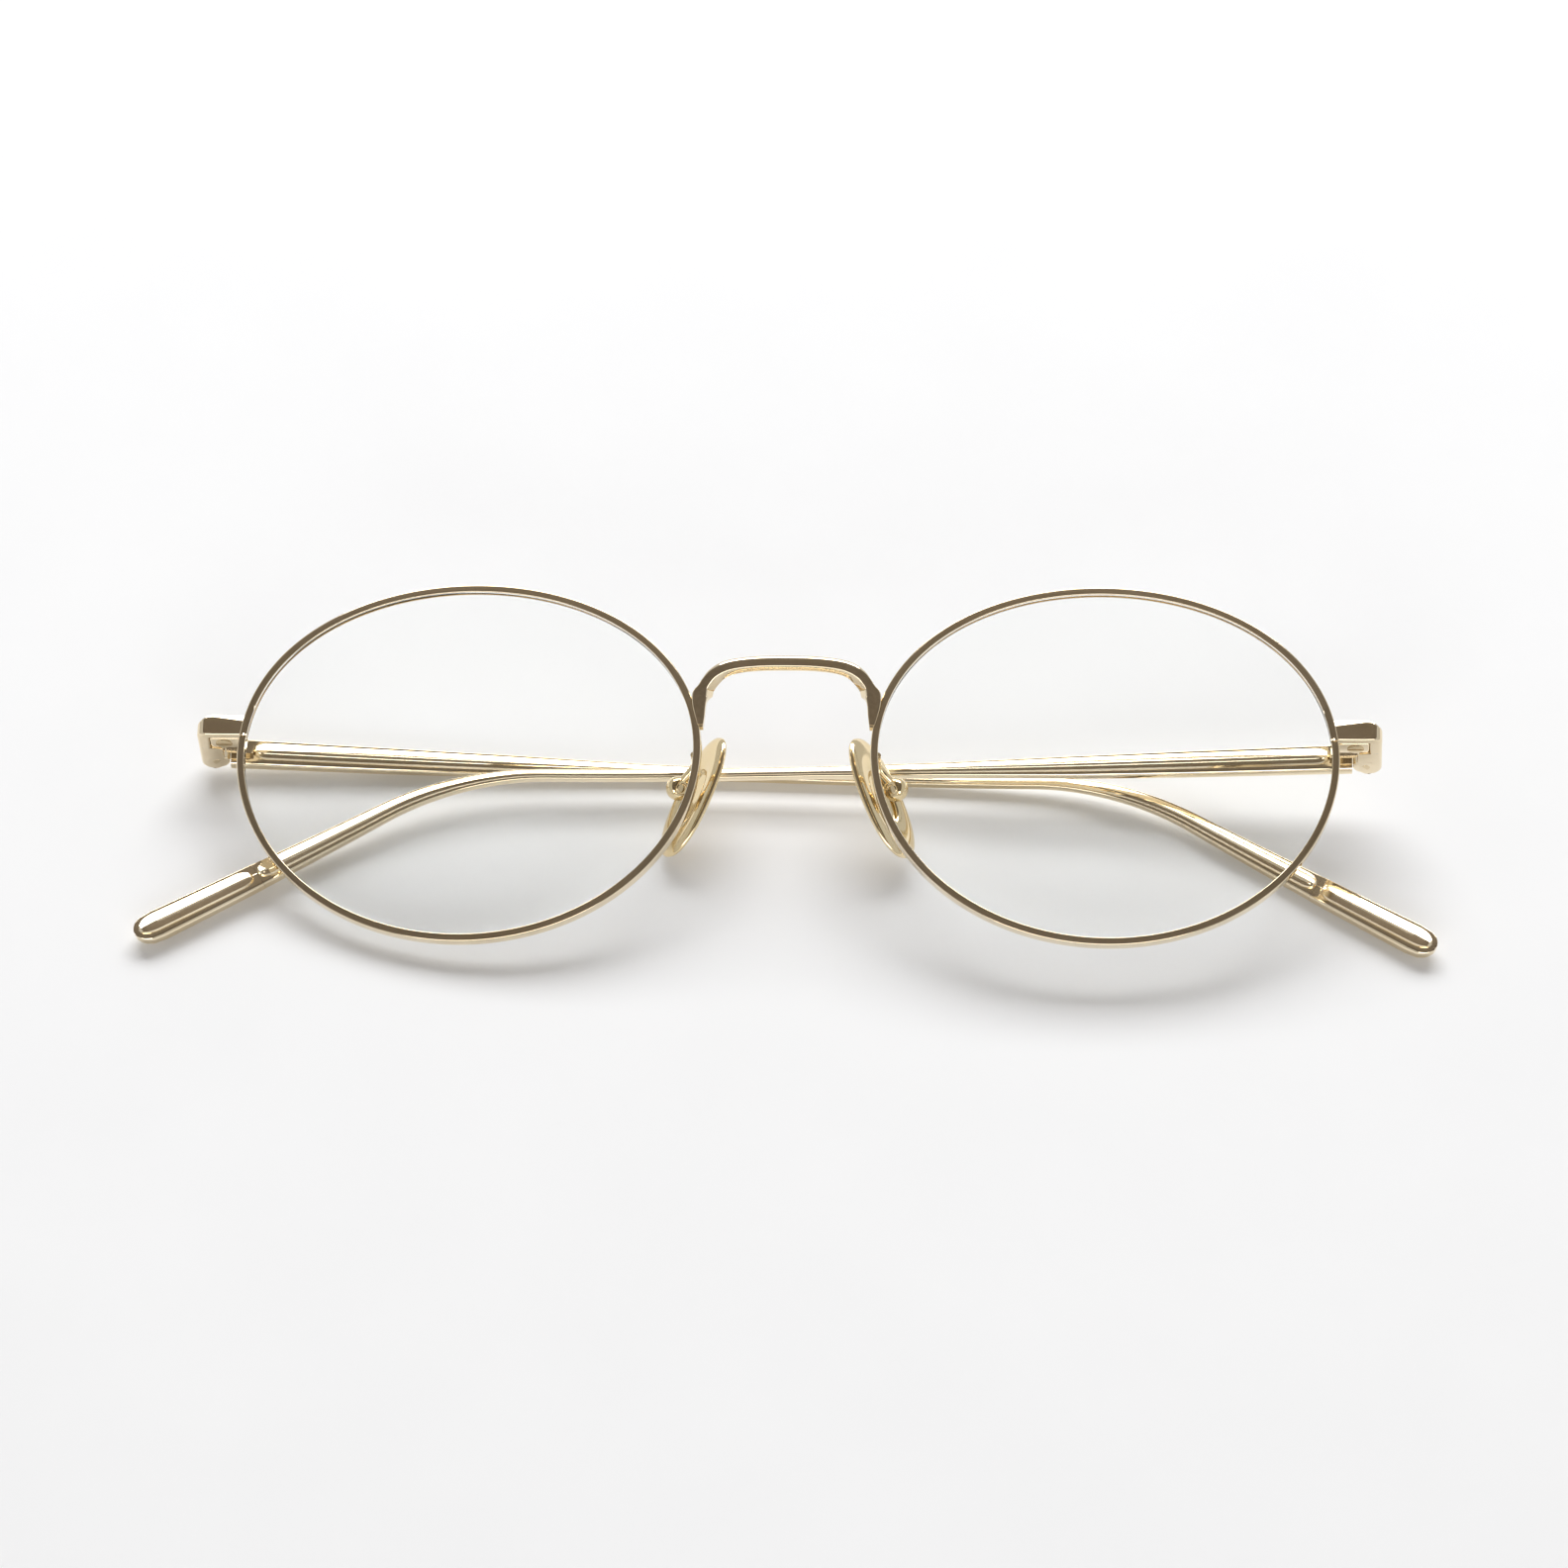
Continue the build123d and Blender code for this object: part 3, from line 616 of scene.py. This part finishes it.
def temple_point(distance, height, outwards, droop):
    """A point beside the temple's middle line: straight, bent down at the ear, and curved inwards."""
    before = BEND_AT - BEND_RADIUS * math.tan(BEND_ANGLE / 2)
    turned_by = min(max((distance - before) / BEND_RADIUS, 0), BEND_ANGLE)
    beyond = max(distance - before - BEND_RADIUS * BEND_ANGLE, 0)
    x = min(distance, before) + BEND_RADIUS * math.sin(turned_by) + beyond * math.cos(turned_by)
    y = -BEND_RADIUS * (1 - math.cos(turned_by)) - beyond * math.sin(turned_by)
    middle = x * math.cos(droop) + y * math.sin(droop)
    x += height * math.sin(turned_by)
    y += height * math.cos(turned_by)
    curve = ARCH * middle ** 2 + max(middle - EAR_START, 0) ** 2 / (2 * EAR_RADIUS)
    return Vector((x * math.cos(droop) + y * math.sin(droop), y * math.cos(droop) - x * math.sin(droop),
                   TEMPLE_OFFSET - curve + outwards))


def size_at(distance, sections, column):
    """A section's measure at a distance, in proportion between the two nearest rows."""
    for low, high in zip(sections, sections[1:]):
        if distance <= high[0]:
            share = max(distance - low[0], 0) / (high[0] - low[0])
            return low[column] + share * (high[column] - low[column])
    return sections[-1][column]


def temple_section(distance, sections, panel, droop):
    """One ring: rounded outer side, and an inner face with a sloped upper and a flat lower band."""
    half = size_at(distance, sections, 1)
    thick = size_at(distance, sections, 2)
    corner = min(half, thick) * 0.55
    start, end, line = panel
    inside = min(distance - start, end - distance)
    near = min(max(inside / (1.1 * half), 0.0), 1.0)
    bulge = max(math.sqrt(1 - (1 - near) ** 2), 0.1)
    drop_full = 0.72 * BAND_SLOPE * half
    rise = drop_full * blend(inside, -0.05, 0.3)
    step = min(0.13, half * 0.1)
    base = drop_full - thick
    low, ridge, high = -0.52 * half * bulge, 0.10 * half * bulge, 0.74 * half * bulge
    drop = (high - ridge) * BAND_SLOPE
    mark = line * blend(inside, 0.3, 1.2)
    outline = arc((half - corner, thick - corner), corner, 0, 90, 9)
    outline += arc((corner - half, thick - corner), corner, 90, 180, 9)
    outline += arc((0.3 * half - half, 0.3 * half + base), 0.3 * half, 180, 270, 9)
    outline += [(low - step, base), (low - step * 0.15, base - rise * 0.85), (low, base - rise),
                (low * 0.45, base - rise - 0.01), (low * 0.45 + 0.07, base - rise - 0.01 + mark),
                (low * 0.45 + 0.14, base - rise - 0.01), (ridge - 0.05, base - rise),
                (ridge + 0.05, base - rise + 0.01), (high, base - rise + drop * min(1.0, rise / drop_full)),
                (high + step * 0.5, base + 0.02)]
    outline += arc((half - 0.09 * half, 0.09 * half + base), 0.09 * half, 280, 360, 8)
    return [temple_point(distance, height, outwards, droop) for height, outwards in outline]


def stations(start, end, step, fine):
    """Distances along the temple, closer together near the listed places."""
    places = [start]
    while places[-1] < end - 1e-6:
        near = min((abs(places[-1] - place) for place in fine), default=99)
        places.append(min(places[-1] + (0.14 if near < 1.9 else step), end))
    return places


def bar(name, start, end, outline, droop):
    """A plain bar along the temple's middle line."""
    places = [start + (end - start) * step / 10 for step in range(11)]
    return loft(name, [[temple_point(distance, a, b, droop) for a, b in outline] for distance in places])


def make_temple_side(side):
    """The temple with its thin tang, and the tip that is sleeved over the tang."""
    droop = DROOP[side]
    panel = (4.0, TIP_START - 0.1, 0.05)
    places = stations(1.45, TIP_START, 1.0, (4.6, TIP_START - 0.7))
    rings = [temple_section(distance, TEMPLE_SECTIONS, panel, droop) for distance in places]
    # the end face leans with the splay of the open temple
    rings[0] = [point + Vector((0.02 + 0.055 * point.z, 0, 0)) for point in rings[0]]
    temple = loft("temple", rings)
    tang_outline = rounded_box(-0.68, 0.68, -0.33, 0.33, (0.15,) * 4, 3)
    tang = bar("tang", TIP_START - 1.0, TIP_START + 8.9, tang_outline, droop)
    panel = (TIP_START + 0.6, 143.3, 0.0)
    places = stations(TIP_START + 0.03, TIP_END, 0.8, (TIP_START + 1.2, 142.8))
    tip = loft("temple_tip", [temple_section(distance, TIP_SECTIONS, panel, droop) for distance in places])
    bore_outline = rounded_box(-0.72, 0.72, -0.37, 0.37, (0.17,) * 4, 3)
    cut(tip, bar("bore", TIP_START - 2, TIP_START + 9.2, bore_outline, droop))
    select_only(temple)
    tang.select_set(True)
    bpy.ops.object.join()
    return temple, tip


def folded_place(side):
    """Where a temple made along its own middle line lies when it is folded."""
    turn = math.atan(FOLD[side])
    inwards = Vector((-1, 0, 0))
    along = inwards * math.cos(turn) + LEG * math.sin(turn)
    outwards = LEG * math.cos(turn) - inwards * math.sin(turn)
    up = outwards.cross(along)
    place = Matrix(((along.x, up.x, outwards.x, HINGE_POINT.x), (along.y, up.y, outwards.y, HINGE_POINT.y),
                    (along.z, up.z, outwards.z, HINGE_POINT.z), (0, 0, 0, 1)))
    mirror = Matrix.Scale(-1, 4, (1, 0, 0)) if side == "left" else Matrix.Identity(4)
    return front_place @ mirror @ place


# ------------------------------------------------------------------ putting the pieces in place
def pair(maker, angle, body, slot, node):
    """Make a piece once and give each side its own copy."""
    right = maker()
    left = mirrored(right, f"{right.name}_left")
    right.name = right.data.name = f"{right.name}_right"
    for side, piece in (("left", left), ("right", right)):
        put(piece, front_place, body.format(side), slot, f"{node}_{side}")
        smooth(piece, angle)


pair(make_rim, 17, "front", "frame_gold", "rim")
pair(make_lens, 40, "front", "lens", "lens")
pair(make_end_piece, 14, "front", "frame_gold", "end_piece")
pair(lambda: block("rim_block_upper", (61.85, 0.92, -0.15), (65.58, 3.18, 1.0), end_place, 0.12), 35,
     "front", "frame_gold", "rim_block_upper")
pair(lambda: block("rim_block_lower", (61.85, 0.92, -1.33), (65.58, 3.18, -0.25), end_place, 0.22), 35,
     "front", "frame_gold", "rim_block_lower")
pair(lambda: make_screw("rim_screw", 64.0, 2.05, 0.5, (0.95, 0.5), 0.8, -1.46), 35,
     "front", "screw_steel", "rim_screw")
pair(lambda: make_screw("hinge_screw", HINGE_X, HINGE_DEPTH, 0.6, (0.95, 0.45), -1.54, 1.54), 35,
     "front", "screw_steel", "hinge_screw")
pair(make_pad_arm, 60, "front", "pad_gold", "pad_arm")
pair(make_pad_box, 35, "front", "pad_gold", "pad_box")
pair(make_pad_screw, 35, "front", "screw_steel", "pad_screw")
pair(make_pad, 50, "nose_pad_{}", "pad_gold", "nose_pad")
bridge = make_bridge()
put(bridge, front_place, "front", "frame_gold", "bridge")
smooth(bridge, 24)
for side in ("left", "right"):
    temple, tip = make_temple_side(side)
    for piece, node_name in ((temple, "temple"), (tip, "temple_tip")):
        piece.name = piece.data.name = f"{node_name}_{side}_formed"
        put(piece, folded_place(side), f"temple_{side}", "temple_gold", f"{node_name}_{side}")
        smooth(piece, 14)

# ------------------------------------------------------------------ table, light and camera
floor = start_piece("table_top", bpy.ops.mesh.primitive_plane_add, size=6.0, location=(0, 0, 0))
floor.data.materials.append(matt("pale_table", 40.0, 4.0, (0.872, 0.88, 0.892), (0.887, 0.895, 0.907)))

# a brown card overhead, which the faces turned upwards reflect
CARD_SIZE = 2.6
card = start_piece("overhead_card", bpy.ops.mesh.primitive_plane_add, size=1.0, location=(0, -0.60, 1.35))
reshape(card, lambda co: co * CARD_SIZE)
card.data.materials.append(matt("brown_card", 6.0, 3.0, (0.13, 0.108, 0.086), (0.18, 0.150, 0.122)))

world = bpy.data.worlds.new("studio")
bpy.context.scene.world = world
world.use_nodes = True
walls = world.node_tree.nodes["Background"]
walls.inputs["Color"].default_value = (1.0, 1.0, 1.0, 1)
walls.inputs["Strength"].default_value = 0.58


def area_light(name, place, target, size, power):
    """A white rectangular light that faces a target."""
    bpy.ops.object.select_all(action="DESELECT")
    bpy.ops.object.light_add(type="AREA", location=place)
    light = bpy.context.active_object
    light.name = name
    light.data.shape = "RECTANGLE"
    light.data.size, light.data.size_y = size
    light.data.energy = power
    light.rotation_euler = (Vector(target) - Vector(place)).to_track_quat("-Z", "Y").to_euler()


area_light("key_softbox", (0.0, 1.1, 1.05), (0, 0, 0), (1.7, 0.8), 24.5)
area_light("front_fill", (0.0, -1.7, 0.75), (0, -0.35, 0), (1.8, 0.6), 10)

CAMERA_DISTANCE = 1.1
CAMERA_AZIMUTH = math.radians(2.19)
CAMERA_ELEVATION = math.radians(49.9)
heading = Vector((math.sin(CAMERA_AZIMUTH) * math.cos(CAMERA_ELEVATION),
                  -math.cos(CAMERA_AZIMUTH) * math.cos(CAMERA_ELEVATION),
                  math.sin(CAMERA_ELEVATION)))
front_middle = front_place @ Vector((0, 0, 0))
aim = Vector((front_middle.x, front_middle.y, 0.0))
bpy.ops.object.camera_add(location=aim + heading * CAMERA_DISTANCE)
camera = bpy.context.active_object
camera.name = "camera"
camera.rotation_euler = (-heading).to_track_quat("-Z", "Y").to_euler()
camera.data.sensor_width = 36.0
camera.data.lens = 222.86023
camera.data.shift_x = -0.000587
camera.data.shift_y = 0.0329545
bpy.context.scene.camera = camera
bpy.context.scene.view_settings.view_transform = "Standard"
